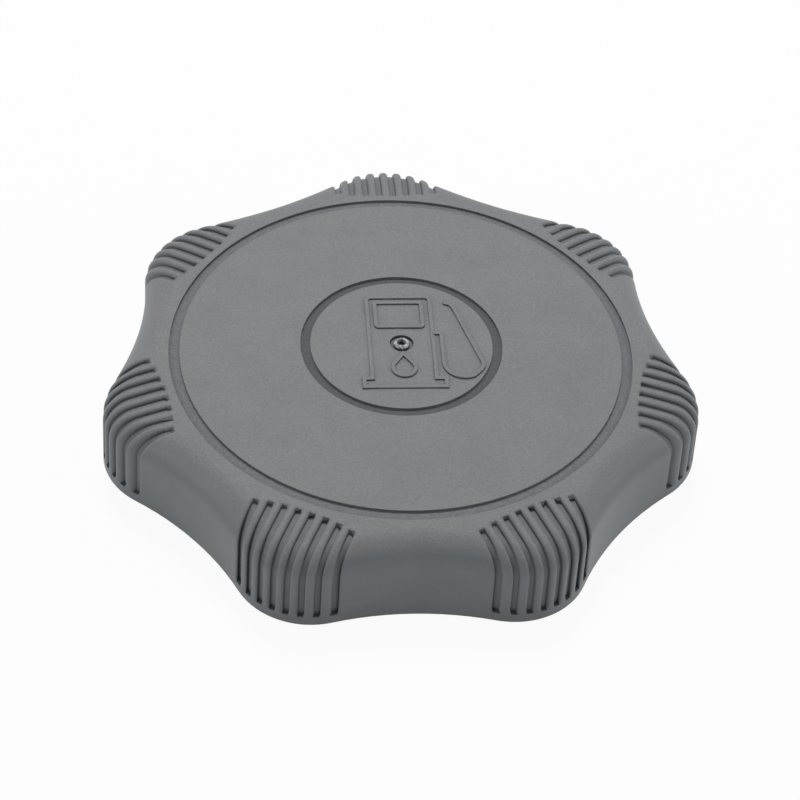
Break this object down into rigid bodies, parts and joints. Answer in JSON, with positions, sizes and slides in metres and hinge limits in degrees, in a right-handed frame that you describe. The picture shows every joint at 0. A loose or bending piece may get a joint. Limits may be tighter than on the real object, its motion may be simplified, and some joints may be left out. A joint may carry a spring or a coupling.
{
  "type": "fuel filler cap",
  "caption": "Round screw-on fuel filler cap with a lobed, grooved grip cover, a ratcheting threaded closure, a gasket and a two-way vent valve inside.",
  "frame": {"origin": "on the cap's axis, in the plane of the skirt's lower rim", "axes": "+Z along the cap's axis, from the skirt's rim towards the top; +Y towards one lobe, which is also the upper side of the pictogram"},
  "size_m": [0.1102, 0.1082, 0.0203],
  "materials": {
    "cover_plastic": "moulded glass-filled nylon, fine grained",
    "closure_plastic": "moulded acetal, satin",
    "ratchet_plastic": "moulded natural acetal",
    "rubber": "moulded nitrile rubber",
    "foam": "open-cell filter foam",
    "valve_plastic": "moulded natural acetal",
    "spring_steel": "drawn stainless wire",
    "ring_steel": "rolled stainless strip"
  },
  "bodies": {
    "cover": {"cover": "cover_plastic", "retaining_ring": "ring_steel"},
    "closure": {"closure_body": "closure_plastic", "pawl_ring": "ratchet_plastic", "slip_washer": "ratchet_plastic", "seal_ring": "rubber", "foam_filter": "foam", "splash_baffle": "closure_plastic", "valve_cage": "valve_plastic", "cage_oring": "rubber"},
    "pressure_valve": {"pressure_plate": "valve_plastic", "valve_seal": "rubber", "pressure_spring": "spring_steel"},
    "vacuum_valve": {"vacuum_valve": "valve_plastic", "spring_clip": "ring_steel", "vacuum_spring": "spring_steel"}
  },
  "joints": [
    {"name": "torque_ratchet", "type": "hinge", "parent": "cover", "child": "closure", "pos_m": [0, 0, 0], "axis": [0, 0, 1], "continuous": true},
    {"name": "pressure_vent", "type": "slide", "parent": "closure", "child": "pressure_valve", "axis": [0, 0, 1], "range_m": [0, 0.0012], "stiffness_N_per_m": 300, "springref_m": -0.0045, "deforming": ["pressure_spring"]},
    {"name": "vacuum_vent", "type": "slide", "parent": "pressure_valve", "child": "vacuum_valve", "axis": [0, 0, -1], "range_m": [0, 0.0008], "stiffness_N_per_m": 60, "springref_m": -0.002, "deforming": ["vacuum_spring"]}
  ]
}
